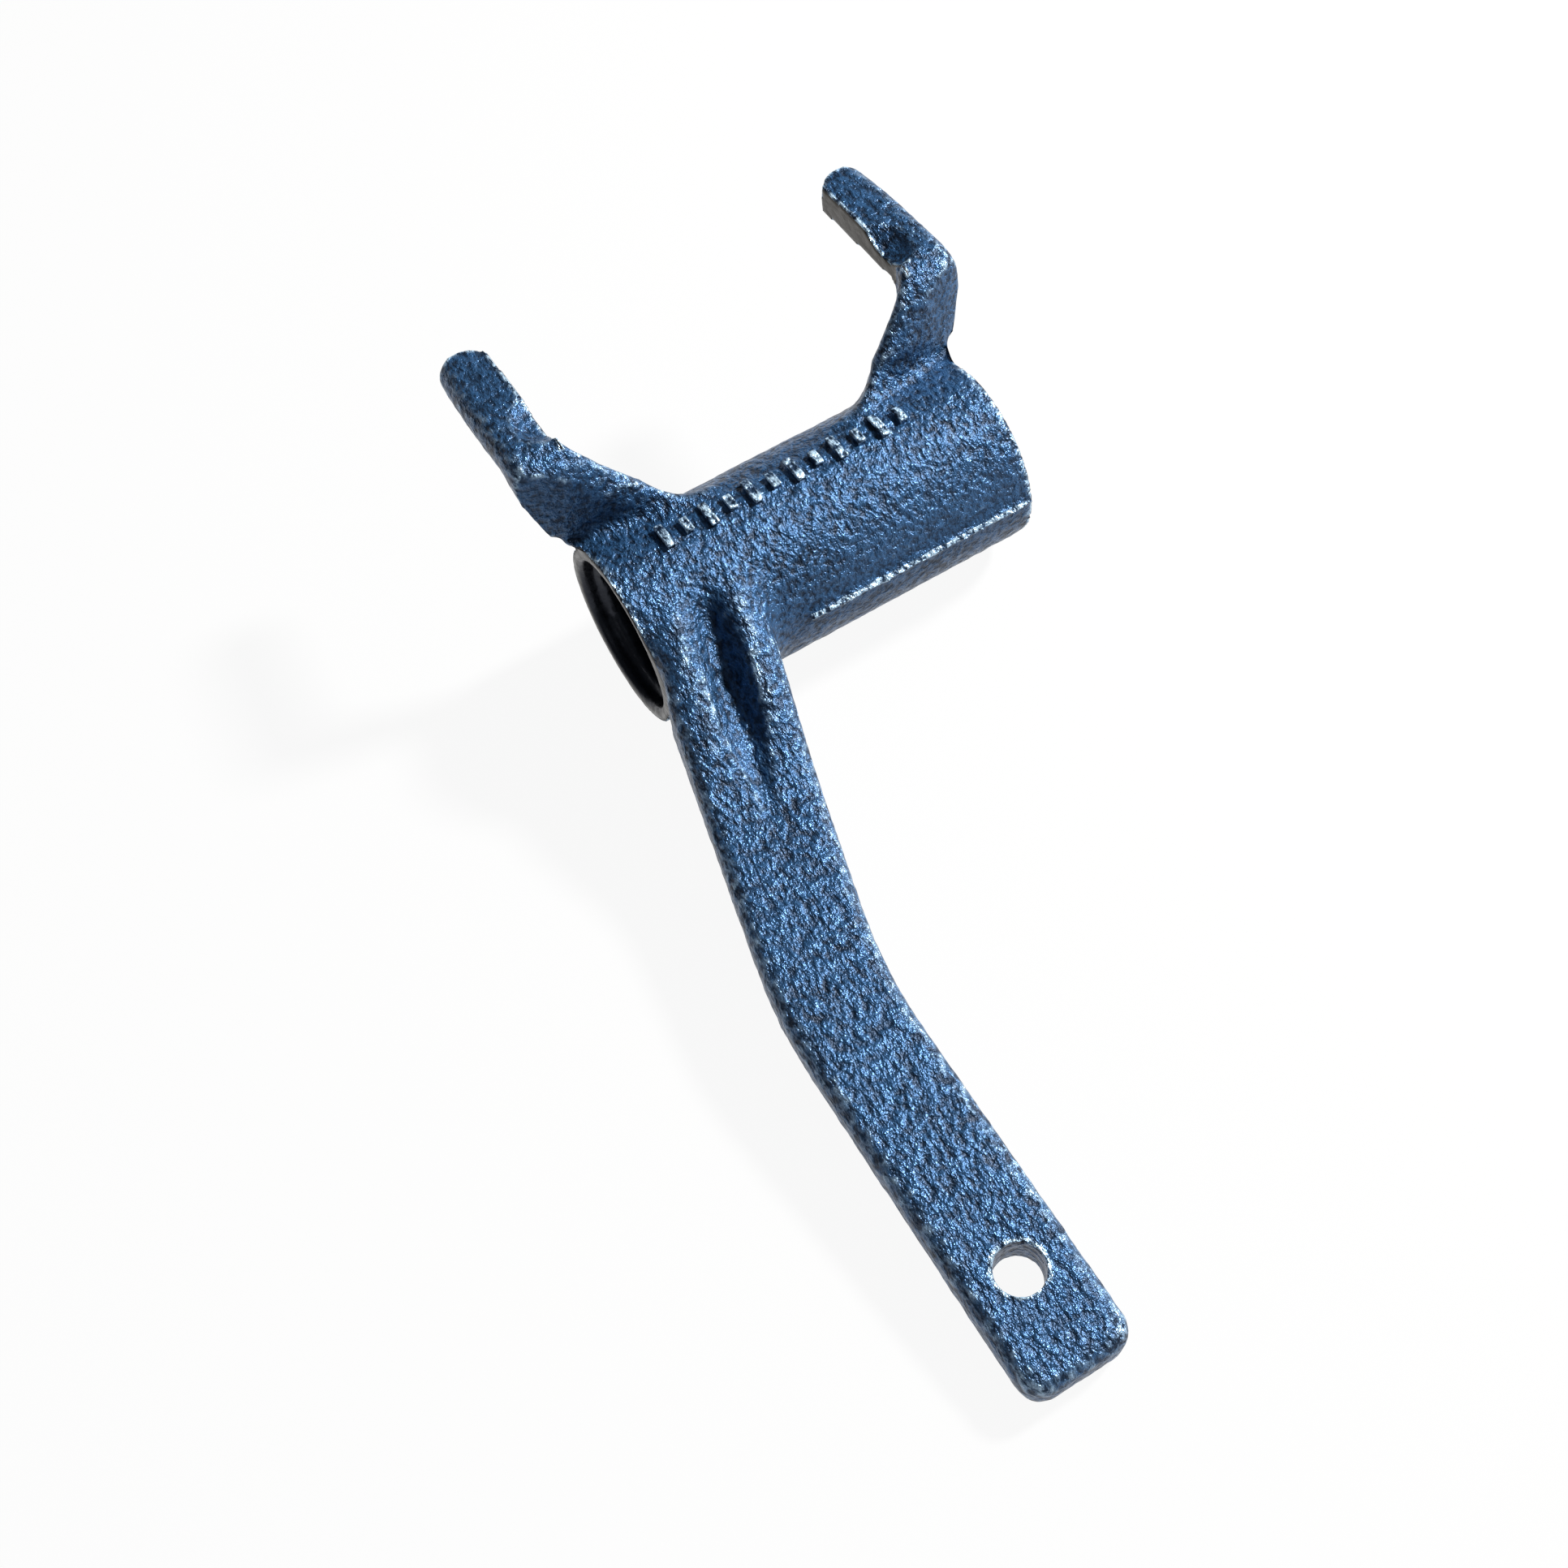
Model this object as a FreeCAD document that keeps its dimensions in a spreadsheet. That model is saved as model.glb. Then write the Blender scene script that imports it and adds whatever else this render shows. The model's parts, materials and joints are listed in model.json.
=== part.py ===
import FreeCAD, Part
import math
import os

import Sketcher
from FreeCAD import Placement, Rotation, Vector

# Clutch fork: one forging with a tubular hub that rocks on a shaft, a cranked lever arm with an
# eye at its end, and two raised prongs whose fingers push the release bearing.
#
# The forging is drawn level: X runs along the hub bore, the arm reaches towards -Y, the prongs
# towards +Y, and Z = 0 is the middle of the arm. The finished part is then turned about the
# bore, so that the hub and the arm's end lie on one flat surface.

# name, millimetres or degrees, what it is
DIMENSIONS = (
    ("hub_diameter", 36.0, "outside of the hub tube"),
    ("hub_length", 79.0, "end face to end face"),
    ("hub_edge_round", 1.5, "rounding of the hub's end edges"),
    ("bore_diameter", 28.0, "running bore for the shaft"),
    ("mouth_diameter", 30.0, "counterbore at each end of the bore"),
    ("mouth_depth", 3.5, "depth of the counterbore"),
    ("mouth_chamfer", 0.6, "lead-in of the counterbore"),
    ("facing_diameter", 42.0, "cutter that faces the hub's ends"),
    ("arm_thickness", 8.5, "lever arm, across its flats"),
    ("arm_width", 20.0, "outer half of the arm"),
    ("arm_offset", 44.9, "middle of the hub to the outer arm's centre line"),
    ("arm_reach", 154.3, "hub axis to the arm's end"),
    ("arm_bend_reach", 81.2, "hub axis to the bend of the arm"),
    ("arm_bend_round", 95.0, "radius of the bend"),
    ("arm_edge_round", 2.6, "rounding of the arm's long edges"),
    ("arm_corner_round", 4.5, "rounding of the end corners, seen from above"),
    ("root_offset", 24.5, "middle of the hub to the arm's centre line at the hub axis"),
    ("root_width", 23.8, "width of the arm at the hub axis"),
    ("root_blend", 7.5, "rounding of the corner between the arm and the long side of the hub"),
    ("gusset_top", 18.8, "height of the gusset's back at the hub axis"),
    ("gusset_reach", 44.2, "hub axis to the foot of the gusset"),
    ("gusset_runout", 40.0, "radius where the gusset runs out on the arm"),
    ("valley_depth", 3.6, "valley between the two ribs, below the gusset's back"),
    ("valley_radius", 72.0, "sweep of the valley floor"),
    ("valley_reach", 25.0, "hub axis to the middle of the valley"),
    ("valley_offset", 0.5, "valley floor, inwards of the arm's centre line"),
    ("valley_steep", 42.0, "slope of the valley's outer flank"),
    ("valley_gentle", 32.0, "slope of the valley's inner flank"),
    ("eye_diameter", 8.5, "hole for the push rod"),
    ("eye_margin", 18.1, "arm's end to the middle of the eye"),
    ("finger_gap", 72.0, "clear gap between the fingers"),
    ("finger_span", 92.8, "outside to outside of the fingers"),
    ("finger_stock", 2.6, "forged stock inside each finger, milled away"),
    ("finger_reach", 53.5, "hub axis to the fingertips"),
    ("finger_thickness", 6.6, "height of a finger"),
    ("finger_round", 2.0, "rounding of the prong's forged edges"),
    ("tip_round", 4.6, "rounding of the fingertip, seen from above"),
    ("tip_height", 27.0, "top of the fingertip above the hub axis"),
    ("shoulder_reach", 18.5, "hub axis to the prong's shoulder"),
    ("shoulder_height", 32.5, "top of the shoulder above the hub axis"),
    ("shoulder_round", 8.0, "rounding over the shoulder"),
    ("prong_root", 4.0, "height of the prong's foot inside the hub"),
    ("web_foot_reach", 9.5, "hub axis to the foot of the rising web"),
    ("web_foot_height", 16.0, "height of the foot of the rising web"),
    ("web_thickness", 9.0, "rising web, front to back"),
    ("web_spread", 29.0, "slant of the web's inner side, seen from above"),
    ("web_outer", 41.2, "middle of the hub to the web's outer edge at its foot"),
    ("web_round", 3.0, "rounding of the prong's outer front edge"),
    ("crook_reach", 20.3, "hub axis to the inner corner of the crook"),
    ("crook_round", 6.0, "rounding of the crook's inner corner, seen from above"),
    ("elbow_height", 25.0, "height of the outer corner of the crook"),
    ("elbow_round", 6.0, "rounding of the outer corner of the crook"),
    ("mill_reach", 18.0, "hub axis to the start of each finger's milled face"),
    ("mill_round", 8.0, "corner left by the milling cutter"),
    ("dish_radius", 9.0, "ball that hollows the inside of each crook"),
    ("dish_depth", 3.0, "depth of that hollow at the finger's inner face"),
    ("dish_reach", 29.8, "hub axis to the middle of the hollow"),
    ("tally_height", 0.45, "raised tally bars, above the hub"),
    ("tally_width", 1.8, "one tally bar, along the hub"),
    ("tally_length", 5.6, "one tally bar, round the hub"),
    ("tally_pitch", 9.0, "step from one tally bar to the next"),
)

NEAR = 0.01  # millimetres, or a share of one, that count as nothing
SHARP = 0.35  # radians between two faces that make an edge worth rounding
LEVEL = 0.8  # upright share of a normal on a face that counts as level
SIDEWAYS = 0.4  # X share of a normal on a face that counts as turned to one side
TALLIES = 6  # raised bars in a row on the hub


def make_sheet(doc):
    """Keep every driving dimension in one spreadsheet, a row each."""
    sheet = doc.addObject("Spreadsheet::Sheet", "dims")
    for row, (alias, value, note) in enumerate(DIMENSIONS, start=1):
        sheet.set(f"A{row}", alias)
        sheet.set(f"B{row}", str(value))
        sheet.set(f"C{row}", note)
        sheet.setAlias(f"B{row}", alias)
    doc.recompute()
    return sheet


def origin_plane(body, role):
    """Find one of the body's own origin planes."""
    return next(plane for plane in body.Origin.OriginFeatures if plane.Role == role)


def add_outline(body, name, role, corners):
    """Draw a closed outline through corners, each a pair of expressions in the sheet's sizes."""
    sketch = body.newObject("Sketcher::SketchObject", name)
    sketch.AttachmentSupport = [(origin_plane(body, role), "")]
    sketch.MapMode = "FlatFace"
    count = len(corners)
    for index in range(count):
        start = 2 * math.pi * index / count
        end = 2 * math.pi * (index + 1) / count
        line = Part.LineSegment(
            Vector(math.cos(start), math.sin(start), 0), Vector(math.cos(end), math.sin(end), 0)
        )
        sketch.addGeometry(line, False)
    for index in range(count):
        following = (index + 1) % count
        sketch.addConstraint(Sketcher.Constraint("Coincident", index, 2, following, 1))
    for index, pair in enumerate(corners):
        for kind, expression in zip(("DistanceX", "DistanceY"), pair):
            row = sketch.addConstraint(Sketcher.Constraint(kind, -1, 1, index, 1, 1.0))
            sketch.setExpression(f"Constraints[{row}]", expression)
    return sketch


def add_pad(body, sketch, length):
    """Pad a sketch by the same amount to both sides of its plane."""
    pad = body.newObject("PartDesign::Pad", body.Name + "_pad")
    pad.Profile = sketch
    pad.Midplane = True
    pad.setExpression("Length", length)
    return pad


def round_corners(body, name, sketch, corners, radius):
    """Round the pad's edges that stand on the numbered corners of its outline."""
    base = body.Tip
    points = [sketch.Placement.multVec(sketch.getPoint(index, 1)) for index in corners]
    edges = []
    for number, edge in enumerate(base.Shape.Edges, start=1):
        middle = (edge.firstVertex().Point + edge.lastVertex().Point) / 2
        if edge.Curve.TypeId == "Part::GeomLine" and any(
            middle.distanceToPoint(point) < NEAR for point in points
        ):
            edges.append(f"Edge{number}")
    fillet = body.newObject("PartDesign::Fillet", name)
    fillet.Base = (base, edges)
    fillet.setExpression("Radius", radius)
    body.Document.recompute()
    return fillet


def make_prism(doc, name, role, corners, length, rounds=()):
    """Make a body from an outline padded to both sides, with some of its corners rounded."""
    body = doc.addObject("PartDesign::Body", name)
    doc.recompute()
    sketch = add_outline(body, name + "_outline", role, corners)
    add_pad(body, sketch, length)
    doc.recompute()
    for number, (picked, radius) in enumerate(rounds, start=1):
        round_corners(body, f"{name}_round_{number}", sketch, picked, radius)
    return body


def combine(doc, kind, name, shapes):
    """Join shapes by one of the Part booleans that take a list."""
    result = doc.addObject(kind, name)
    result.Shapes = shapes
    doc.recompute()
    return result


def cut_away(doc, name, base, tool):
    """Cut one shape out of another."""
    result = doc.addObject("Part::Cut", name)
    result.Base = base
    result.Tool = tool
    doc.recompute()
    return result


def size(doc, alias):
    """Read one driving dimension from the sheet."""
    return float(doc.getObject("dims").get(alias))


def side_normals(shape, edge):
    """Give the outward normals of the two faces that meet at the middle of an edge."""
    middle = edge.valueAt((edge.FirstParameter + edge.LastParameter) / 2)
    normals = []
    for face in shape.ancestorsOfType(edge, Part.Face):
        normals.append(face.normalAt(*face.Surface.parameter(middle)))
    return normals


def fillet_edges(doc, name, base, radius, chosen):
    """Round the sharp edges of a shape that the chosen() test picks by the edge and its faces."""
    width = size(doc, radius)
    edges = []
    for number, edge in enumerate(base.Shape.Edges, start=1):
        normals = side_normals(base.Shape, edge)
        if len(normals) == 2 and normals[0].getAngle(normals[1]) > SHARP and chosen(edge, normals):
            edges.append((number, width, width))
    fillet = doc.addObject("Part::Fillet", name)
    fillet.Base = base
    fillet.Edges = edges
    doc.recompute()
    return fillet


def make_hub(doc):
    """The hub: a plain cylinder along X with rounded end edges."""
    body = doc.addObject("PartDesign::Body", "hub")
    doc.recompute()
    sketch = body.newObject("Sketcher::SketchObject", "hub_circle")
    sketch.AttachmentSupport = [(origin_plane(body, "YZ_Plane"), "")]
    sketch.MapMode = "FlatFace"
    sketch.addGeometry(Part.Circle(Vector(), Vector(0, 0, 1), 1), False)
    sketch.addConstraint(Sketcher.Constraint("Coincident", 0, 3, -1, 1))
    row = sketch.addConstraint(Sketcher.Constraint("Diameter", 0, 2.0))
    sketch.setExpression(f"Constraints[{row}]", "dims.hub_diameter")
    add_pad(body, sketch, "dims.hub_length")
    doc.recompute()
    return body


def make_arm(doc):
    """The lever arm and its gusset: a plan outline and a side outline, each padded, in common."""
    half_turn = "atan((dims.arm_offset - dims.root_offset) / dims.arm_bend_reach) / 2"
    skew = f"dims.arm_width / 2 * tan({half_turn})"
    right = "-dims.arm_offset + dims.arm_width / 2"
    left = "-dims.arm_offset - dims.arm_width / 2"
    plan = make_prism(
        doc,
        "arm_plan",
        "XY_Plane",
        [
            ("-dims.root_offset + dims.root_width / 2", "0"),
            (right, f"-dims.arm_bend_reach - {skew}"),
            (right, "-dims.arm_reach"),
            (left, "-dims.arm_reach"),
            (left, f"-dims.arm_bend_reach + {skew}"),
            ("-dims.root_offset - dims.root_width / 2", "0"),
        ],
        "2 * dims.hub_diameter",
        [((1, 4), "dims.arm_bend_round"), ((2, 3), "dims.arm_corner_round")],
    )
    top = "dims.arm_thickness / 2"
    slope = f"((dims.gusset_top - {top}) / dims.gusset_reach)"
    touch = f"dims.hub_diameter / 2 * sin(atan({slope}))"
    past_end = "-dims.arm_reach - dims.arm_width"
    side = make_prism(
        doc,
        "arm_side",
        "YZ_Plane",
        [
            (f"-{touch}", f"-{top}"),
            (f"-{touch}", f"dims.gusset_top - {touch} * {slope}"),
            ("-dims.gusset_reach", top),
            (past_end, top),
            (past_end, f"-{top}"),
        ],
        "4 * dims.arm_offset",
        [((2,), "dims.gusset_runout")],
    )
    blank = combine(doc, "Part::MultiCommon", "arm_blank", [plan, side])

    def is_rim(edge, normals):
        flat = any(abs(normal.z) > LEVEL for normal in normals)
        wall = any(abs(normal.z) < NEAR for normal in normals)
        return flat and wall and edge.CenterOfMass.y < -NEAR

    return fillet_edges(doc, "arm", blank, "arm_edge_round", is_rim)


def make_prong(doc):
    """The right prong: what a plan, a side and a front outline, each padded, have in common."""
    inner = "(dims.finger_gap / 2 - dims.finger_stock)"
    outer = "dims.finger_span / 2"
    far = "dims.finger_span"
    plan = make_prism(
        doc,
        "prong_plan",
        "XY_Plane",
        [
            (f"{inner} - dims.crook_reach / tan(dims.web_spread)", "0"),
            (inner, "dims.crook_reach"),
            (inner, "dims.finger_reach"),
            (outer, "dims.finger_reach"),
            (outer, "0"),
        ],
        far,
        [((1,), "dims.crook_round")],
    )
    rise = "(dims.shoulder_height - dims.web_foot_height)"
    lean = f"((dims.shoulder_reach - dims.web_foot_reach) / {rise})"
    drop = "(dims.shoulder_height - dims.tip_height)"
    fall = f"({drop} / (dims.finger_reach - dims.shoulder_reach))"
    depth = f"(dims.web_thickness * sqrt(1 + {lean} * {lean}))"
    knee = f"(({depth} - dims.finger_thickness * {lean}) / (1 + {lean} * {fall}))"
    root = "dims.prong_root"
    root_reach = f"dims.shoulder_reach - (dims.shoulder_height - {root}) * {lean}"
    past_tip = f"dims.finger_reach + {far}"
    past_tip_top = f"dims.tip_height - {far} * {fall}"
    side = make_prism(
        doc,
        "prong_side",
        "YZ_Plane",
        [
            (root_reach, root),
            ("dims.shoulder_reach", "dims.shoulder_height"),
            (past_tip, past_tip_top),
            (past_tip, f"{past_tip_top} - dims.finger_thickness"),
            (
                f"dims.shoulder_reach + {knee}",
                f"dims.shoulder_height - dims.finger_thickness - {knee} * {fall}",
            ),
            (f"{root_reach} + {depth}", root),
        ],
        f"2 * {far}",
        [((1,), "dims.shoulder_round"), ((4,), "dims.finger_round")],
    )
    spread = f"({outer} - dims.web_outer) / (dims.elbow_height - dims.web_foot_height)"
    front = make_prism(
        doc,
        "prong_front",
        "XZ_Plane",
        [
            ("0", "0"),
            ("0", far),
            (outer, far),
            (outer, "dims.elbow_height"),
            (f"dims.web_outer - dims.web_foot_height * {spread}", "0"),
        ],
        f"4 * {far}",
        [((3,), "dims.elbow_round")],
    )
    blank = combine(doc, "Part::MultiCommon", "prong_blank", [plan, side, front])

    def rises(normals):
        return any(abs(normal.x) < NEAR and normal.z > 0 for normal in normals)

    def is_outer(edge, normals):
        return rises(normals) and any(normal.x > SIDEWAYS for normal in normals)

    def is_inner(edge, normals):
        return rises(normals) and any(normal.x < -SIDEWAYS for normal in normals)

    def is_under(edge, normals):
        under = any(abs(normal.x) < NEAR and normal.z < 0 for normal in normals)
        side = any(abs(normal.x) > SIDEWAYS for normal in normals)
        return under and side and edge.CenterOfMass.z > size(doc, "prong_root") + NEAR

    outer_round = fillet_edges(doc, "prong_outer_round", blank, "web_round", is_outer)
    rounded = fillet_edges(
        doc,
        "prong_round",
        outer_round,
        "finger_round",
        lambda edge, normals: is_inner(edge, normals) or is_under(edge, normals),
    )
    trim = make_prism(
        doc,
        "finger_plan",
        "XY_Plane",
        [
            ("0", "0"),
            ("0", "dims.mill_reach"),
            ("dims.finger_gap / 2", "dims.mill_reach"),
            ("dims.finger_gap / 2", "dims.finger_reach"),
            (outer, "dims.finger_reach"),
            (outer, "0"),
        ],
        far,
        [((2,), "dims.mill_round"), ((3, 4), "dims.tip_round")],
    )
    trimmed = combine(doc, "Part::MultiCommon", "prong_trimmed", [rounded, trim])
    ball = doc.addObject("Part::Sphere", "dish_ball")
    ball.setExpression("Radius", "dims.dish_radius")
    ball.setExpression("Placement.Base.x", "(dims.finger_gap - dims.dish_depth) / 2")
    ball.setExpression("Placement.Base.y", "dims.dish_reach")
    fallen = f"(dims.dish_reach - dims.shoulder_reach) * {fall}"
    ball.setExpression(
        "Placement.Base.z",
        f"dims.shoulder_height - {fallen} - dims.dish_depth + dims.dish_radius",
    )
    return cut_away(doc, "prong_right", trimmed, ball)


def make_tally(doc):
    """A row of plain raised bars on the crest of the hub."""
    crown = doc.addObject("Part::Cylinder", "tally_crown")
    crown.setExpression("Radius", "dims.hub_diameter / 2 + dims.tally_height")
    crown.Placement.Rotation = Rotation(Vector(0, 1, 0), 90)
    bars = []
    for number in range(TALLIES):
        bar = doc.addObject("Part::Box", f"tally_{number}")
        bar.setExpression("Length", "dims.tally_width")
        bar.setExpression("Width", "dims.tally_length")
        bar.setExpression("Height", "dims.hub_diameter")
        bar.setExpression("Placement.Base.x", f"({number} - {TALLIES} / 2) * dims.tally_pitch")
        bars.append(bar)
    row = combine(doc, "Part::MultiFuse", "tally_bars", bars)
    crown.setExpression("Placement.Base.x", "-dims.hub_length / 2")
    crown.setExpression("Height", "dims.hub_length")
    return combine(doc, "Part::MultiCommon", "tally", [crown, row])


def make_turned_tool(doc):
    """What turning takes away: the stepped bore and all that stands past the hub's end faces."""
    end = "dims.hub_length / 2"
    step = f"({end} - dims.mouth_depth)"
    lip = f"({end} - dims.mouth_chamfer)"
    bore = "dims.bore_diameter / 2"
    mouth = "dims.mouth_diameter / 2"
    face = "dims.facing_diameter / 2"
    half = [
        (step, bore),
        (step, mouth),
        (lip, mouth),
        (end, f"{mouth} + dims.mouth_chamfer"),
        (end, face),
        ("dims.hub_length", face),
        ("dims.hub_length", "0"),
    ]
    mirrored = [(f"-{along}", away) for along, away in reversed(half)]
    return make_turning(doc, "turned_tool", half + mirrored)


def make_turning(doc, name, corners):
    """Make a body by turning an outline, drawn upright over the X axis, about that axis."""
    body = doc.addObject("PartDesign::Body", name)
    doc.recompute()
    sketch = add_outline(body, name + "_outline", "XZ_Plane", corners)
    turning = body.newObject("PartDesign::Revolution", name + "_turning")
    turning.Profile = sketch
    turning.ReferenceAxis = (sketch, ["H_Axis"])
    turning.Angle = 360
    doc.recompute()
    return body


def make_valley_wheel(doc):
    """The V-rimmed wheel whose track is the valley between the two ribs of the gusset."""
    shallow = "(dims.valley_radius - dims.hub_diameter / 2)"
    height = "dims.hub_diameter / 2"
    wheel = make_turning(
        doc,
        "valley_wheel",
        [
            ("0", "dims.valley_radius"),
            (f"-{height} / tan(dims.valley_steep)", shallow),
            (f"-{height} / tan(dims.valley_steep)", "0"),
            (f"{height} / tan(dims.valley_gentle)", "0"),
            (f"{height} / tan(dims.valley_gentle)", shallow),
        ],
    )
    drift = (size(doc, "arm_offset") - size(doc, "root_offset")) / size(doc, "arm_bend_reach")
    top = size(doc, "arm_thickness") / 2
    slope = (size(doc, "gusset_top") - top) / size(doc, "gusset_reach")
    reach = size(doc, "valley_reach")
    across = Vector(1, -drift, 0).normalize()
    upward = across.cross(Vector(drift, 1, slope)).normalize()
    back = size(doc, "gusset_top") - slope * reach
    middle = size(doc, "valley_offset") - size(doc, "root_offset") - drift * reach
    floor = Vector(middle, -reach, back - size(doc, "valley_depth"))
    turn = Rotation(Vector(1, 0, 0), across)
    wheel.Placement = Placement(floor + upward * size(doc, "valley_radius"), turn)
    return wheel


def make_eye_drill(doc):
    """The drill for the push-rod eye, square to the arm."""
    drill = doc.addObject("Part::Cylinder", "eye_drill")
    drill.setExpression("Radius", "dims.eye_diameter / 2")
    drill.setExpression("Height", "2 * dims.arm_thickness")
    drill.setExpression("Placement.Base.x", "-dims.arm_offset")
    drill.setExpression("Placement.Base.y", "dims.eye_margin - dims.arm_reach")
    drill.setExpression("Placement.Base.z", "-dims.arm_thickness")
    return drill


def rest_turn(doc):
    """Give the turn about the bore that brings the hub and the arm's end down to one level."""
    round_radius = size(doc, "arm_edge_round")
    back = size(doc, "arm_reach") - round_radius
    down = size(doc, "arm_thickness") / 2 - round_radius
    fall = math.asin((size(doc, "hub_diameter") / 2 - round_radius) / math.hypot(back, down))
    return math.degrees(fall - math.atan2(down, back))


def make_root_web(doc):
    """The web that rounds out the corner between the arm and the long side of the hub."""
    edge = "(dims.root_width / 2 - dims.root_offset)"
    drift = f"((dims.arm_offset - dims.arm_width / 2 + {edge}) / dims.arm_bend_reach)"
    sunk = "(dims.hub_diameter / 2 - dims.hub_edge_round)"
    corner = f"({edge} - {drift} * {sunk})"
    below = f"({sunk} + dims.root_blend)"
    return make_prism(
        doc,
        "root_web",
        "XY_Plane",
        [
            ("-dims.root_offset", "0"),
            (f"{corner} + dims.root_blend", "0"),
            (f"{corner} + dims.root_blend", f"-{sunk}"),
            (corner, f"-{sunk}"),
            (f"{edge} - {drift} * {below}", f"-{below}"),
            ("-dims.root_offset", f"-{below}"),
        ],
        "dims.arm_thickness - dims.arm_edge_round",
        [((3,), "dims.root_blend")],
    )


def join_lobes(doc):
    """Join the hub, the arm, the two prongs, the web in the corner and the tally bars."""
    hub = make_hub(doc)
    arm = make_arm(doc)
    right = make_prong(doc)
    left = doc.addObject("Part::Mirroring", "prong_left")
    left.Source = right
    left.Normal = Vector(1, 0, 0)
    shapes = [hub, arm, right, left, make_root_web(doc), make_tally(doc)]
    return combine(doc, "Part::MultiFuse", "forging", shapes)


def make_fork(doc):
    """Forge the fork: join its lobes, sink the valley, then turn, drill and lay it level."""
    ribbed = cut_away(doc, "ribbed_forging", join_lobes(doc), make_valley_wheel(doc))
    drilled = cut_away(doc, "drilled_forging", ribbed, make_eye_drill(doc))
    fork = cut_away(doc, "fork_casting", drilled, make_turned_tool(doc))
    fork.Placement = Placement(Vector(), Rotation(Vector(1, 0, 0), rest_turn(doc)))
    doc.recompute()
    return fork


def check(doc):
    """Stop if any object failed to compute or holds a broken shape."""
    for item in doc.Objects:
        if "Invalid" in item.State or "Error" in item.State:
            raise RuntimeError(f"{item.Label} did not compute")
        if hasattr(item, "Shape") and item.TypeId.startswith(("Part::", "PartDesign::Body")):
            if item.Shape.isNull() or not item.Shape.isValid():
                raise RuntimeError(f"{item.Label} has a broken shape")


def main():
    """Build the fork and write its solid."""
    os.makedirs("parts", exist_ok=True)
    doc = FreeCAD.newDocument("clutch_fork")
    make_sheet(doc)
    fork = make_fork(doc)
    check(doc)
    fork.Shape.exportStep(f"parts/{fork.Label}.step")


main()
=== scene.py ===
import json
import math

import bmesh
import bpy
from mathutils import Matrix, Quaternion, Vector, noise


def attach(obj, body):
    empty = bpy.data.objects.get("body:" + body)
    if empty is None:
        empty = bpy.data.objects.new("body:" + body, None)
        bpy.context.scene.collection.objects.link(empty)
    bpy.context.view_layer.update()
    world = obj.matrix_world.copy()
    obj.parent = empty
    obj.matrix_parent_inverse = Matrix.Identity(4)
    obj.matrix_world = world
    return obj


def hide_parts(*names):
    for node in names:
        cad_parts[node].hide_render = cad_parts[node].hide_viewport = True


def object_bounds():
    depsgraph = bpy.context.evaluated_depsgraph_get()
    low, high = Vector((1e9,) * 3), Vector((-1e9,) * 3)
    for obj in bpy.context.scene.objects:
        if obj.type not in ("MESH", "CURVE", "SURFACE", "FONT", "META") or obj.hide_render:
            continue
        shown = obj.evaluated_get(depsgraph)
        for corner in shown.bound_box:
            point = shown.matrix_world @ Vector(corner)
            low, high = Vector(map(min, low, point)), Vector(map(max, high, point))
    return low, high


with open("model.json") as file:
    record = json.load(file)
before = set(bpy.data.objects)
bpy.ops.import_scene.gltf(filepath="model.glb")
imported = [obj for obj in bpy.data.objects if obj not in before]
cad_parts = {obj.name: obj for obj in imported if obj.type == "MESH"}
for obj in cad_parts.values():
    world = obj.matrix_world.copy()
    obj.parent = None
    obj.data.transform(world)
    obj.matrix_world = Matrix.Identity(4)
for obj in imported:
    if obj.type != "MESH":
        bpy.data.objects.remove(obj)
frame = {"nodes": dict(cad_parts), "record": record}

# Clutch fork: a forged hub, lever arm and two prongs in one piece. The forging's own level frame
# has X along the hub bore, the arm towards -Y and Z = 0 in the middle of the arm; the part lies
# turned from it about the bore. In that frame, "along" is X, "reach" is Y and "height" is Z;
# "aside" is the distance from the middle of the hub's length, "away" that from the bore's axis.

CAD_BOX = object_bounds()
MM = 0.001
MOUNTS = {mount["name"]: mount for mount in frame["record"]["mounts"]}
BORE_RADIUS = MOUNTS["hub_bore"]["dims"]["r_mm"] * MM
BORE_HALF = MOUNTS["hub_bore"]["dims"]["length_mm"] * MM / 2
EYE_RADIUS = MOUNTS["lever_eye"]["dims"]["r_mm"] * MM
EYE_AXIS = Vector(MOUNTS["lever_eye"]["axis"])
EYE_PLACE = Vector(MOUNTS["lever_eye"]["pos_m"])
FINGER_FACE = MOUNTS["finger_face_right"]["pos_m"][0]
TILT = math.atan2(-EYE_AXIS.y, EYE_AXIS.z)
FLOOR_HEIGHT = CAD_BOX[0][2]
HUB_RADIUS = -FLOOR_HEIGHT

TO_LEVEL = Matrix.Rotation(-TILT, 3, "X")
TO_REST = Matrix.Rotation(TILT, 3, "X")

# machined faces
MOUTH_RADIUS = 15.6 * MM
HUB_HALF = 39.5 * MM
FINGER_REACH = 20 * MM

# forged skin: the step of its net, how near counts as on the surface, and rounds of smoothing
VOXEL = 0.61 * MM
WELD = 0.001 * MM
SKIN_GAP = 0.5 * MM
SKIN_ROUNDS = 4
BLEND_ROUNDS = 45
SHARP_ANGLE = math.radians(50)
GRAINS = ((0.20 * MM, 480), (0.16 * MM, 900))  # depth, and how many to a metre

# where a web, the arm's root and a crook run into their neighbours, and are smoothed longer
WEB_REACH = (1 * MM, 20 * MM)
WEB_ASIDE = (8 * MM, 38 * MM)
WEB_LOWEST = 8 * MM
WEB_AWAY = 25 * MM
ROOT_REACH = (-22 * MM, 0)
ROOT_INNER = -8 * MM
ROOT_LOWEST = -5 * MM
CROOK_REACH = (13 * MM, 27 * MM)
CROOK_OUTER = 37 * MM
CROOK_LOWEST = 20 * MM

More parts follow.
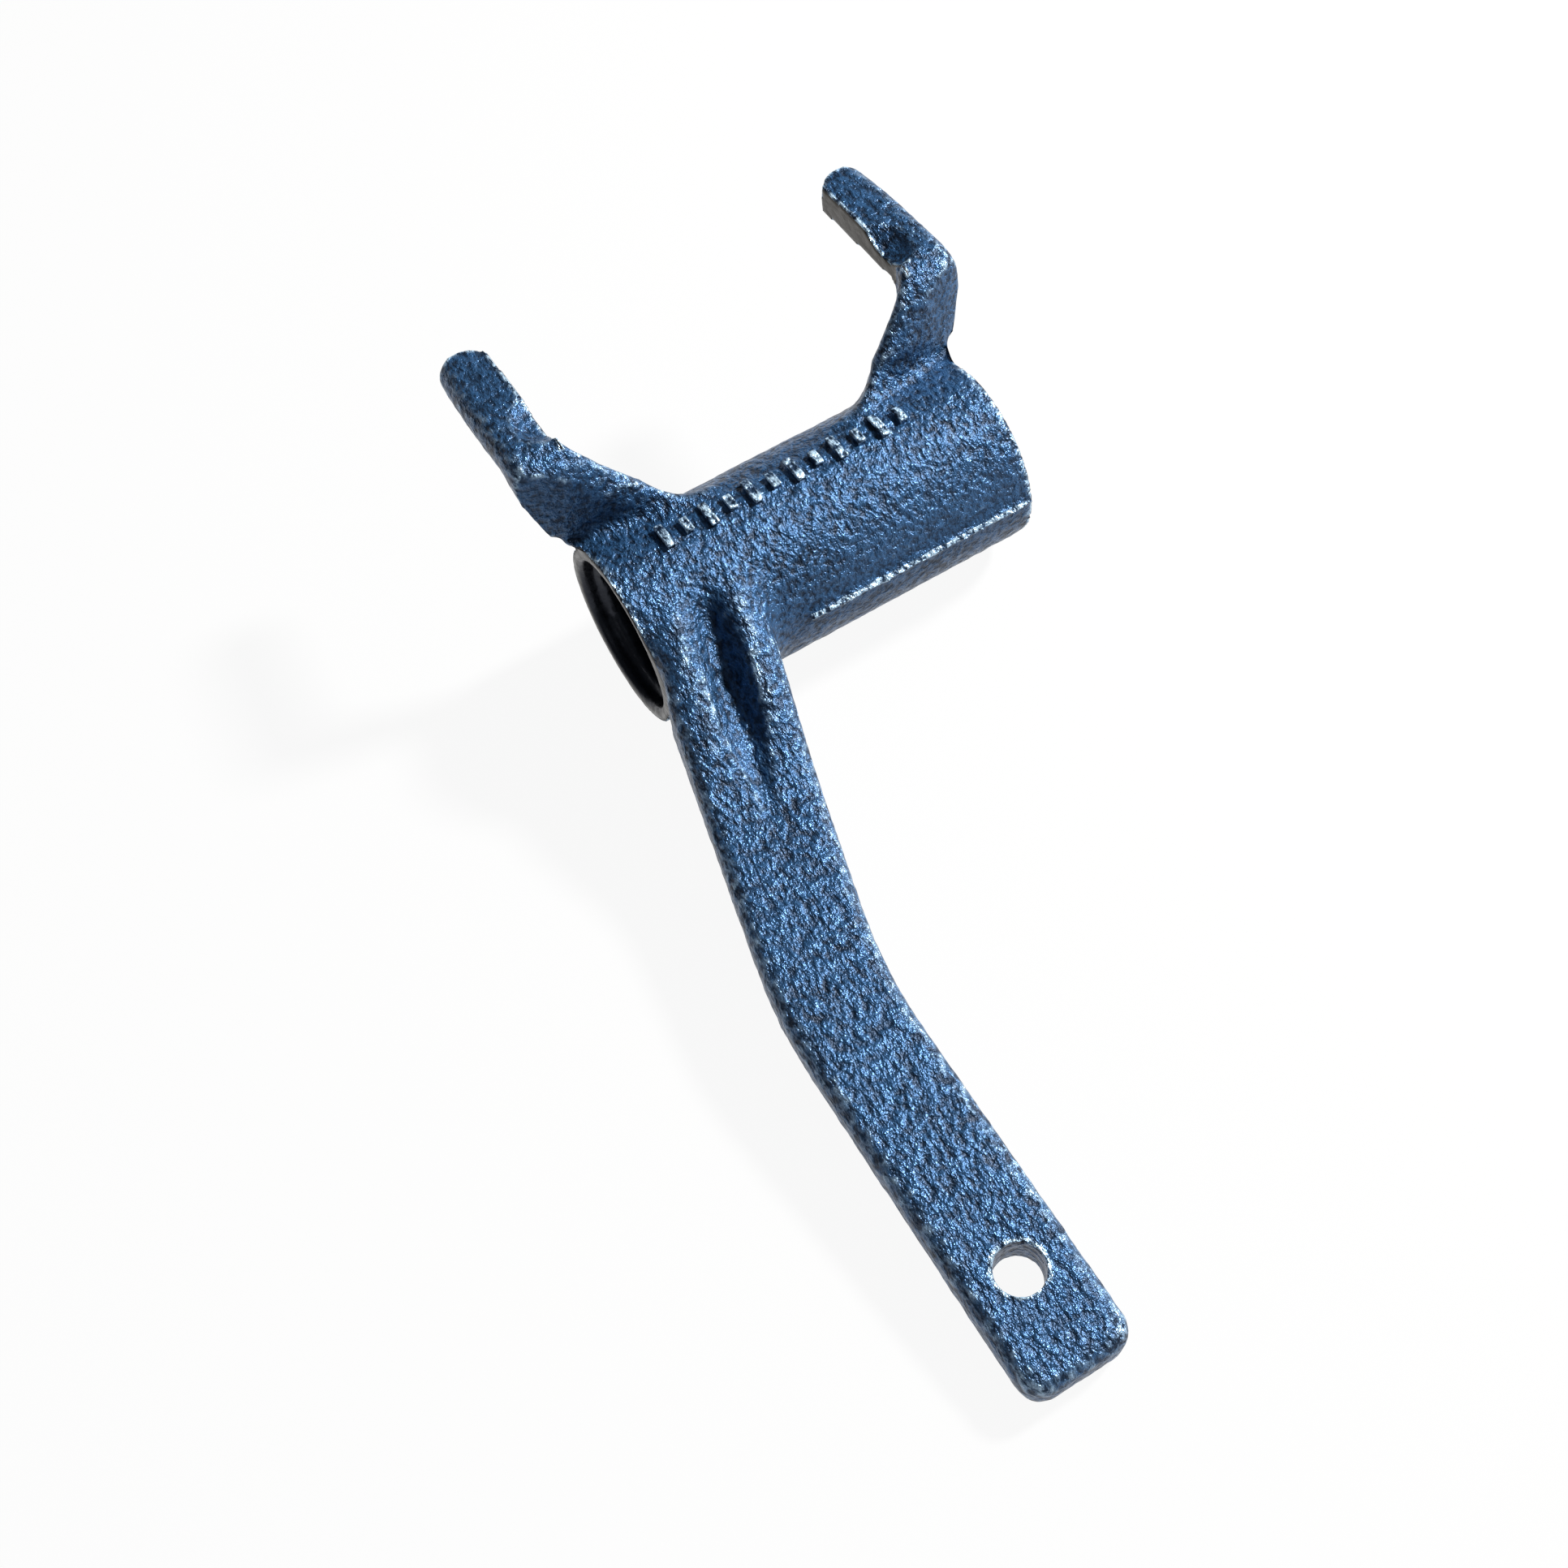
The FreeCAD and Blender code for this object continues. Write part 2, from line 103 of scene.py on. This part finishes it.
# the webs that rise from the hub to the fingers, in the plane across the hub: reach, height
WEB_FOOT = Vector((9.5, 16.0)) * MM
WEB_SHOULDER = Vector((18.5, 32.5)) * MM
WEB_RISE = (WEB_SHOULDER - WEB_FOOT).normalized()
WEB_NORMAL = Vector((-WEB_RISE.y, WEB_RISE.x))
WEB_PLANE = WEB_NORMAL.dot(WEB_FOOT)

# the round in the corner between the hub and a web; each span goes from none of it to all of it
WEB_BLEND = 7.5 * MM
BLEND_GROWS = (10 * MM, 15 * MM)
BLEND_FADES = (29 * MM, 21 * MM)
BLEND_DEPTH = 1.5

# the outer part of a web's front, which falls back from a leaning line, and its spread foot
FLANK_START = 25.5 * MM
FLANK_LEAN = 1.05
FLANK_FALL = 0.36
FLANK_LOWEST = 10 * MM
FOOT_SPREAD = 1.8 * MM
FOOT_HEIGHT = (26 * MM, 16 * MM)
FOOT_ASIDE = (30 * MM, 39 * MM)

# the valley between the arm's two ribs, in plan
VALLEY_START = -24.0 * MM
VALLEY_DRIFT = 0.2512
VALLEY_GROWS = (7 * MM, 13 * MM)
VALLEY_FADES = (47 * MM, 34 * MM)
VALLEY_DEPTH = 1.7 * MM
VALLEY_WIDTH = 2.3 * MM
RIB_HEIGHT = 0.7 * MM
RIB_PLACE = 6.3 * MM
RIB_FOOT = 4.4 * MM

# the trimmed flash along the hub's long side: waves and chips are so many to a metre
FLASH_HEIGHT = 1.25 * MM
FLASH_WIDTH = 0.75 * MM
FLASH_LEVEL = 3.7 * MM
FLASH_START = -9 * MM
FLASH_WANDER = 0.4 * MM
FLASH_WAVES = 260
FLASH_CHIPS = 780
CHIP_STRIP = 4
FLASH_SOUND = 0.8
FLASH_CHIPPED = 0.5

# raised tally bars on the hub's crest
TALLY_BARS = 12
TALLY_PITCH = 4.5 * MM
TALLY_SHIFT = 0.1
TALLY_SIZE = (1.7 * MM, 5.8 * MM, 1.7 * MM)
TALLY_SHORT = 0.6
TALLY_PROUD = 0.9 * MM
TALLY_MIDDLE = 2.8 * MM
TALLY_BEVEL = 0.3 * MM
TALLY_CUTS = 3
TALLY_ROUGH = 0.12 * MM
TALLY_GRAIN = 900
TALLY_ROW = 28 * MM


def new_piece(name, bm):
    """Turn a bmesh into a smooth-shaded piece at the origin."""
    mesh = bpy.data.meshes.new(name)
    bm.to_mesh(mesh)
    bm.free()
    piece = bpy.data.objects.new(name, mesh)
    bpy.context.scene.collection.objects.link(piece)
    for polygon in mesh.polygons:
        polygon.use_smooth = True
    return piece


def within(value, span):
    """Tell whether a value lies between the ends of a span."""
    return span[0] < value < span[1]


def share(value, start, full):
    """How far a value has come from start, where it is 0, to full, where it stays 1."""
    return min(1, max(0, (value - start) / (full - start)))


def swell(distance, width):
    """A smooth rise: 1 at its middle, and little left beyond its width."""
    return math.exp(-((distance / width) ** 2))


def cross(first, second):
    """The turn from one flat vector to another, positive to the left."""
    return first.x * second.y - first.y * second.x


def remeshed_casting():
    """Give the fork's surface an even net of small faces, fine enough to take the forged grain."""
    bm = bmesh.new()
    bm.from_mesh(frame["nodes"]["fork_casting"].data)
    bmesh.ops.remove_doubles(bm, verts=bm.verts, dist=WELD)
    blank = new_piece("blank", bm)
    remesh = blank.modifiers.new("Remesh", "REMESH")
    remesh.mode = "VOXEL"
    remesh.voxel_size = VOXEL
    remeshed = blank.evaluated_get(bpy.context.evaluated_depsgraph_get())
    even = bpy.data.meshes.new_from_object(remeshed)
    bpy.data.objects.remove(blank)
    return even


def is_machined(place):
    """Tell whether a point lies on a turned, drilled or milled face."""
    level = TO_LEVEL @ place
    away = math.hypot(level.y, level.z)
    if away < MOUTH_RADIUS:
        return True
    if abs(level.x) > HUB_HALF - SKIN_GAP / 2 and away < HUB_RADIUS + SKIN_GAP:
        return True
    if level.y > FINGER_REACH and abs(abs(level.x) - FINGER_FACE) < SKIN_GAP:
        return True
    return (place - EYE_PLACE).cross(EYE_AXIS).length < EYE_RADIUS + SKIN_GAP


def is_blend(place):
    """Tell whether a point lies where a web or the arm runs into the hub, or in a crook."""
    level = TO_LEVEL @ place
    aside = abs(level.x)
    near_hub = level.z > WEB_LOWEST and math.hypot(level.y, level.z) < WEB_AWAY
    web = near_hub and within(level.y, WEB_REACH) and within(aside, WEB_ASIDE)
    root = within(level.y, ROOT_REACH) and level.x < ROOT_INNER and level.z > ROOT_LOWEST
    crook = within(level.y, CROOK_REACH) and aside < CROOK_OUTER and level.z > CROOK_LOWEST
    return web or root or crook


def true_up(vert):
    """Put a point of the bore or of a finger's inner face back on its exact surface."""
    level = TO_LEVEL @ vert.co
    away = math.hypot(level.y, level.z)
    if abs(away - BORE_RADIUS) < SKIN_GAP and abs(level.x) < BORE_HALF - SKIN_GAP:
        level.y *= BORE_RADIUS / away
        level.z *= BORE_RADIUS / away
    if level.y > FINGER_REACH and abs(abs(level.x) - FINGER_FACE) < SKIN_GAP / 2:
        level.x = math.copysign(FINGER_FACE, level.x)
    vert.co = TO_REST @ level


def blend_web(vert):
    """Round out the corner between the hub and the inner part of a web."""
    level = TO_LEVEL @ vert.co
    aside = abs(level.x)
    radius = WEB_BLEND * share(aside, *BLEND_GROWS) * share(aside, *BLEND_FADES)
    off = WEB_PLANE + radius
    centre = WEB_NORMAL * off + WEB_RISE * math.sqrt((HUB_RADIUS + radius) ** 2 - off**2)
    spoke = Vector((level.y, level.z)) - centre
    inside = cross(-WEB_NORMAL, spoke) <= 0 and cross(spoke, -centre) <= 0
    near = radius < spoke.length < BLEND_DEPTH * radius + SKIN_GAP
    if inside and near and math.hypot(level.y, level.z) > HUB_RADIUS - SKIN_GAP:
        level.yz = centre + spoke * (radius / spoke.length)
        vert.co = TO_REST @ level


def slant_flank(vert):
    """Let the outer part of a web's front fall back towards its edge, and spread its foot."""
    level = TO_LEVEL @ vert.co
    across = Vector((level.y, level.z))
    on_hub = across.length < HUB_RADIUS + SKIN_GAP / 2
    if on_hub or level.y < 0 or level.z < FLANK_LOWEST:
        return
    edge = FLANK_START + FLANK_LEAN * max(0, level.z - WEB_FOOT.y)
    fall = FLANK_FALL * max(0, abs(level.x) - edge)
    ahead = WEB_NORMAL.dot(across) - WEB_PLANE + fall
    if fall > 0 and ahead > 0:
        level.yz = across - WEB_NORMAL * ahead
    spread = share(level.z, *FOOT_HEIGHT) * share(abs(level.x), *FOOT_ASIDE)
    level.x += math.copysign(FOOT_SPREAD * spread, level.x)
    vert.co = TO_REST @ level


def smooth(bm, verts, rounds):
    """Even out some points of a bmesh, a number of times over."""
    for _ in range(rounds):
        bmesh.ops.smooth_vert(
            bm, verts=verts, factor=0.5, use_axis_x=True, use_axis_y=True, use_axis_z=True
        )


def grain(place):
    """Depth of the forged grain at a point, always below the sound surface."""
    return sum(depth * (0.5 * noise.noise(place * pitch) - 0.5) for depth, pitch in GRAINS)


def ribbing(place):
    """How far the skin is raised on the arm's two ribs and sunk in the valley between them."""
    level = TO_LEVEL @ place
    reach = -level.y
    strength = min(share(reach, *VALLEY_GROWS), share(reach, *VALLEY_FADES))
    strength *= share(level.z, RIB_FOOT, 2 * RIB_FOOT)
    aside = level.x - VALLEY_START + VALLEY_DRIFT * reach
    rib = RIB_HEIGHT * swell(abs(aside) - RIB_PLACE, VALLEY_WIDTH)
    return strength * (rib - VALLEY_DEPTH * swell(aside, VALLEY_WIDTH))


def flash_line(place):
    """Height of the trimmed flash: a thin chipped bead along the hub's long side."""
    level = TO_LEVEL @ place
    if level.y > -HUB_RADIUS / 2 or level.x < FLASH_START or abs(level.x) > HUB_HALF - SKIN_GAP:
        return 0
    if math.hypot(level.y, level.z) > HUB_RADIUS + SKIN_GAP:
        return 0
    wander = FLASH_WANDER * noise.noise(Vector((level.x * FLASH_WAVES, 0, 0)))
    bead = swell(level.z - FLASH_LEVEL - wander, FLASH_WIDTH)
    chips = noise.noise(Vector((level.x * FLASH_CHIPS, CHIP_STRIP, 0)))
    return FLASH_HEIGHT * bead * (FLASH_SOUND + FLASH_CHIPPED * chips)


def forged_fork():
    """The fork's skin: softened edges, blended roots, forged grain and crisp machined faces."""
    bm = bmesh.new()
    even = remeshed_casting()
    bm.from_mesh(even)
    bpy.data.meshes.remove(even)
    forged = [vert for vert in bm.verts if not is_machined(vert.co)]
    for vert in forged:
        blend_web(vert)
        slant_flank(vert)
    smooth(bm, [vert for vert in forged if is_blend(vert.co)], BLEND_ROUNDS)
    smooth(bm, forged, SKIN_ROUNDS)
    bm.normal_update()
    for vert in forged:
        vert.co += vert.normal * (grain(vert.co) + flash_line(vert.co) + ribbing(vert.co))
    for vert in bm.verts:
        if is_machined(vert.co):
            true_up(vert)
    fork = new_piece("forged_fork", bm)
    fork.data.set_sharp_from_angle(angle=SHARP_ANGLE)
    return fork


def tally_bar(number):
    """One raised bar across the hub's crest, bent to the hub and softened along its edges."""
    bm = bmesh.new()
    bmesh.ops.create_cube(bm, size=1)
    width, length, height = TALLY_SIZE
    length *= TALLY_SHORT if number % 2 else 1
    bmesh.ops.scale(bm, verts=bm.verts, vec=(width, length, height))
    bmesh.ops.bevel(
        bm, geom=bm.edges, affect="EDGES", offset=TALLY_BEVEL, segments=3, profile=0.5, material=-1
    )
    bmesh.ops.subdivide_edges(bm, edges=bm.edges, cuts=TALLY_CUTS, use_grid_fill=True)
    along = (number - TALLY_BARS / 2 + TALLY_SHIFT) * TALLY_PITCH
    middle = Vector((along, TALLY_MIDDLE, 0))
    for vert in bm.verts:
        flat = vert.co + middle
        away = HUB_RADIUS + TALLY_PROUD - height / 2 + vert.co.z
        away += TALLY_ROUGH * noise.noise(flat * TALLY_GRAIN)
        turn = flat.y / HUB_RADIUS
        vert.co = TO_REST @ Vector((flat.x, away * math.sin(turn), away * math.cos(turn)))
    bmesh.ops.recalc_face_normals(bm, faces=bm.faces)
    return new_piece(f"tally_bar_{number + 1}", bm)


class Wire:
    """A socket of a material, which adds Math nodes when it is worked with."""

    def __init__(self, paint, socket):
        self.paint = paint
        self.socket = socket

    def step(self, operation, *values, clamp=False):
        """Add one Math node."""
        settings = {"operation": operation, "use_clamp": clamp}
        return self.paint.add("ShaderNodeMath", settings, dict(enumerate(values)))

    def __add__(self, other):
        return self.step("ADD", self, other)

    def __radd__(self, other):
        return self.step("ADD", other, self)

    def __sub__(self, other):
        return self.step("SUBTRACT", self, other)

    def __rsub__(self, other):
        return self.step("SUBTRACT", other, self)

    def __mul__(self, other):
        return self.step("MULTIPLY", self, other)

    def __rmul__(self, other):
        return self.step("MULTIPLY", other, self)

    def __lt__(self, other):
        return self.step("LESS_THAN", self, other)

    def __gt__(self, other):
        return self.step("GREATER_THAN", self, other)

    def either(self, other):
        """Join two masks: their sum, at most 1."""
        return self.step("ADD", self, other, clamp=True)

    def magnitude(self):
        return self.step("ABSOLUTE", self)

    def root(self):
        return self.step("SQRT", self)

    def ramp(self, low, high, start=0, end=1):
        """Map low..high to start..end, smoothly and clamped."""
        settings = {"interpolation_type": "SMOOTHSTEP"}
        values = {0: self, 1: low, 2: high, 3: start, 4: end}
        return self.paint.add("ShaderNodeMapRange", settings, values)


class Paint:
    """The node tree of one material."""

    def __init__(self, name):
        self.material = bpy.data.materials.new(name)
        self.material.use_nodes = True
        self.tree = self.material.node_tree
        self.tree.nodes.clear()

    def add(self, kind, settings=None, values=None, out=0):
        """Add a node, set it up, feed its sockets and give one of its outputs."""
        node = self.tree.nodes.new(kind)
        for name, value in (settings or {}).items():
            setattr(node, name, value)
        for key, value in (values or {}).items():
            if isinstance(value, Wire):
                self.tree.links.new(value.socket, node.inputs[key])
            else:
                node.inputs[key].default_value = value
        return Wire(self, node.outputs[out])

    def mix(self, factor, first, second):
        """Blend two colours."""
        settings = {"data_type": "RGBA"}
        return self.add("ShaderNodeMix", settings, {0: factor, 6: first, 7: second}, out=2)

    def noise(self, place, scale, detail=2, roughness=0.5):
        """Noise between 0 and 1 at a place."""
        values = {"Vector": place, "Scale": scale, "Detail": detail, "Roughness": roughness}
        return self.add("ShaderNodeTexNoise", None, values)

    def finish(self, shader):
        """Send a shader to the material's surface and give the material."""
        output = self.tree.nodes.new("ShaderNodeOutputMaterial")
        self.tree.links.new(shader.socket, output.inputs["Surface"])
        return self.material


# the fork's colours
DEEP_BLUE = (0.004, 0.014, 0.034, 1)
STEEL_BLUE = (0.032, 0.100, 0.225, 1)
# painted highlight on ridges, tally bar tops and the flash bead; on the ridges partly rubbed wear
# too
SHEEN_BLUE = (0.55, 0.76, 0.95, 1)
# painted reflection: dark brown on the machined finger faces
FINGER_FACE_REFLECTION = (0.028, 0.023, 0.017, 1)
# painted shade: the inside of the bore, near black
BORE_SHADE = (0.018, 0.021, 0.030, 1)
# painted shade on the hub's machined end faces
END_SHADE = (0.022, 0.021, 0.020, 1)

# the scale on the forging: how many grains, lumps and patches there are to a metre
SCALE_GRAIN = 900
SCALE_LUMPS = 380
SCALE_PATCHES = 45
STREAK_STRETCH = (1.0, 0.6, 1.0)
GRAIN_PART = 0.6
LUMP_PART = 0.4

# ramps over that noise or over how far an edge stands out: where they start and end, then
# the values that they give there
RIDGES = (0.505, 0.545)
# darker where the surface curves inward: the grain's hollows and the creases
HOLLOWS = (0.49, 0.44, 0, 0.8)
TONES = (0.34, 0.62)
PATCHES = (0.35, 0.75, 0, 0.3)
# where the painted highlight and the rubbed wear break up into specks
RUB_AND_SHEEN = (0.40, 0.60)
GLOSS = (0.3, 0.7, 0.42, 0.26)

# how metallic and how rough to the touch the forged skin is, and the cut metal
SKIN_METALLIC = 0.5
CUT_METALLIC = 0.7
SKIN_BUMP = 0.96
CUT_BUMP = 0.06
BUMP_DEPTH = 1.7 * MM

# how far a cut face's finish and its painted dark colour reach from the face
END_MARGIN = 0.15 * MM
MOUTH_MARGIN = 0.1 * MM
FINGER_MARGIN = 0.12 * MM


def level_axes(paint):
    """Give the place on the fork in the level frame, then its along, reach and height."""
    place = paint.add("ShaderNodeTexCoord", None, None, out="Object")
    settings = {"rotation_type": "X_AXIS"}
    turned = paint.add("ShaderNodeVectorRotate", settings, {"Vector": place, "Angle": -TILT})
    split = paint.add("ShaderNodeSeparateXYZ", None, {0: turned}).socket.node
    return turned, *(Wire(paint, socket) for socket in split.outputs)


def machined_masks(along, reach, height):
    """The distance from the bore's axis, then masks: the bore, the hub's ends, the finger faces."""
    aside = along.magnitude()
    away = (reach * reach + height * height).root()
    ends = (aside > HUB_HALF - END_MARGIN) * (away < HUB_RADIUS + SKIN_GAP)
    bore = (away < MOUTH_RADIUS + MOUTH_MARGIN) * (1 - ends)
    fingers = ((aside - FINGER_FACE).magnitude() < FINGER_MARGIN) * (reach > FINGER_REACH)
    return away, bore, ends, fingers


def raised_mask(along, reach, height, away):
    """1 on the tally bars' tops and on the flash bead, 0 elsewhere; they take the painted
    highlight.
    """
    row = (reach - TALLY_MIDDLE).magnitude() < TALLY_SIZE[1] / 2
    bars = row * (away > HUB_RADIUS + TALLY_PROUD / 2) * (height > 0)
    line = (height - FLASH_LEVEL).magnitude() < FLASH_WIDTH
    bead = line * (reach < -HUB_RADIUS / 2) * (along > FLASH_START)
    bead = bead * (away < HUB_RADIUS + 2 * FLASH_HEIGHT)
    return bars * (along.magnitude() < TALLY_ROW) + bead


def forged_metal():
    """Blue-grey forging scale with darker hollows, pale ridges that are partly rubbed wear and
    partly painted highlight, and cut faces painted dark: painted shade in the bore and on the hub's
    ends, a painted dark brown reflection on the finger faces.
    """
    paint = Paint("forged_metal")
    place, along, reach, height = level_axes(paint)
    away, bore, ends, fingers = machined_masks(along, reach, height)
    cut = (bore + ends).either(fingers)
    streaks = paint.add("ShaderNodeMapping", None, {"Vector": place, "Scale": STREAK_STRETCH})
    fine = paint.noise(streaks, SCALE_GRAIN, detail=3, roughness=0.6)
    lumps = paint.noise(place, SCALE_LUMPS)
    patches = paint.noise(place, SCALE_PATCHES)
    edges = paint.add("ShaderNodeNewGeometry", None, None, out="Pointiness")
    raised = edges.ramp(*RIDGES).either(raised_mask(along, reach, height, away))
    base = paint.mix(fine.ramp(*TONES), DEEP_BLUE, STEEL_BLUE)
    varied = paint.mix(patches.ramp(*PATCHES), base, STEEL_BLUE)
    # painted highlight: pale sheen on ridges, tally bar tops and flash bead, on the ridges partly
    # rubbed wear
    worn_and_highlit = paint.mix(raised * fine.ramp(*RUB_AND_SHEEN), varied, SHEEN_BLUE)
    # darker where the surface curves inward
    hollows_darkened = paint.mix(edges.ramp(*HOLLOWS), worn_and_highlit, DEEP_BLUE)
    # painted shade in the bore
    bore_shaded = paint.mix(bore, hollows_darkened, BORE_SHADE)
    # painted shade on the hub's end faces
    ends_shaded = paint.mix(ends, bore_shaded, END_SHADE)
    # painted dark brown reflection on the finger faces
    color = paint.mix(fingers, ends_shaded, FINGER_FACE_REFLECTION)
    bump = {
        "Strength": SKIN_BUMP - cut * (SKIN_BUMP - CUT_BUMP),
        "Distance": BUMP_DEPTH,
        "Height": fine * GRAIN_PART + lumps * LUMP_PART,
    }
    shader = {
        "Base Color": color,
        "Metallic": SKIN_METALLIC + cut * (CUT_METALLIC - SKIN_METALLIC),
        "Roughness": fine.ramp(*GLOSS),
        "Normal": paint.add("ShaderNodeBump", None, bump),
    }
    return paint.finish(paint.add("ShaderNodeBsdfPrincipled", None, shader))


FLOOR_SIZE = 6.0
FLOOR_MATTE = (0.55, 0.55, 0.55, 1)
FLOOR_WHITE = (1, 1, 1, 1)
FLOOR_KEPT = 0.93


def floor_material():
    """A floor that is white where it is seen or mirrored and still takes the fork's shadow."""
    paint = Paint("white_floor")
    seen, mirrored, through = (
        paint.add("ShaderNodeLightPath", None, None, out=f"Is {ray} Ray")
        for ray in ("Camera", "Glossy", "Transmission")
    )
    direct = (seen + mirrored).either(through)
    matte = paint.add("ShaderNodeBsdfDiffuse", None, {"Color": FLOOR_MATTE})
    glow = paint.add("ShaderNodeEmission", None, {"Color": FLOOR_WHITE, "Strength": 1.0})
    shown = {0: direct * FLOOR_KEPT, 1: matte, 2: glow}
    return paint.finish(paint.add("ShaderNodeMixShader", None, shown))


def lay_floor():
    """A plain pale floor under the fork."""
    bm = bmesh.new()
    place = Matrix.Translation((0, 0, FLOOR_HEIGHT))
    bmesh.ops.create_grid(bm, x_segments=1, y_segments=1, size=FLOOR_SIZE / 2, matrix=place)
    mesh = bpy.data.meshes.new("floor")
    bm.to_mesh(mesh)
    bm.free()
    floor = bpy.data.objects.new("floor", mesh)
    bpy.context.scene.collection.objects.link(floor)
    mesh.materials.append(floor_material())


CAMERA_PLACE = Vector((-0.1113, -0.2291, 0.3050))
CAMERA_LOOK = Vector((0.219, 0.5048, -0.8347))
CAMERA_ROLL = math.radians(-9.17)
CAMERA_LENS = 48.45
CAMERA_SENSOR = 36


def place_camera():
    """Look down on the fork from the arm's side."""
    data = bpy.data.cameras.new("camera")
    data.lens = CAMERA_LENS
    data.sensor_width = CAMERA_SENSOR
    camera = bpy.data.objects.new("camera", data)
    bpy.context.scene.collection.objects.link(camera)
    turn = CAMERA_LOOK.to_track_quat("-Z", "Y") @ Quaternion((0, 0, 1), CAMERA_ROLL)
    camera.matrix_world = Matrix.Translation(CAMERA_PLACE) @ turn.to_matrix().to_4x4()
    bpy.context.scene.camera = camera


# name, place, size in metres, power in watts, colour
LAMPS = (
    ("key", (0.75, -0.06, 0.66), 0.14, 25.0, (1.0, 0.99, 0.97)),
    ("fill", (-0.2, -0.7, 0.7), 0.6, 0.3, (0.90, 0.96, 1.0)),
)
LAMP_AIM = Vector((0, -0.04, 0))
WORLD_COLOR = (0.92, 0.95, 1.0, 1)
WORLD_STRENGTH = 0.12


def place_lamps():
    """A key light from beyond one end of the hub, a weak fill and a dim pale room."""
    for name, place, size, power, color in LAMPS:
        data = bpy.data.lights.new(name, "AREA")
        data.shape = "DISK"
        data.size = size
        data.energy = power
        data.color = color
        lamp = bpy.data.objects.new(name, data)
        bpy.context.scene.collection.objects.link(lamp)
        lamp.location = place
        lamp.rotation_euler = (LAMP_AIM - Vector(place)).to_track_quat("-Z", "Y").to_euler()
    world = bpy.data.worlds.new("room")
    bpy.context.scene.world = world
    world.use_nodes = True
    background = world.node_tree.nodes["Background"]
    background.inputs["Color"].default_value = WORLD_COLOR
    background.inputs["Strength"].default_value = WORLD_STRENGTH


METAL = forged_metal()

fork = forged_fork()
fork.data.materials.append(METAL)
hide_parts("fork_casting")
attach(fork, "root")

for number in range(TALLY_BARS):
    bar = tally_bar(number)
    bar.data.materials.append(METAL)
    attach(bar, "root")

lay_floor()
place_camera()
place_lamps()
bpy.context.scene.view_settings.view_transform = "Standard"
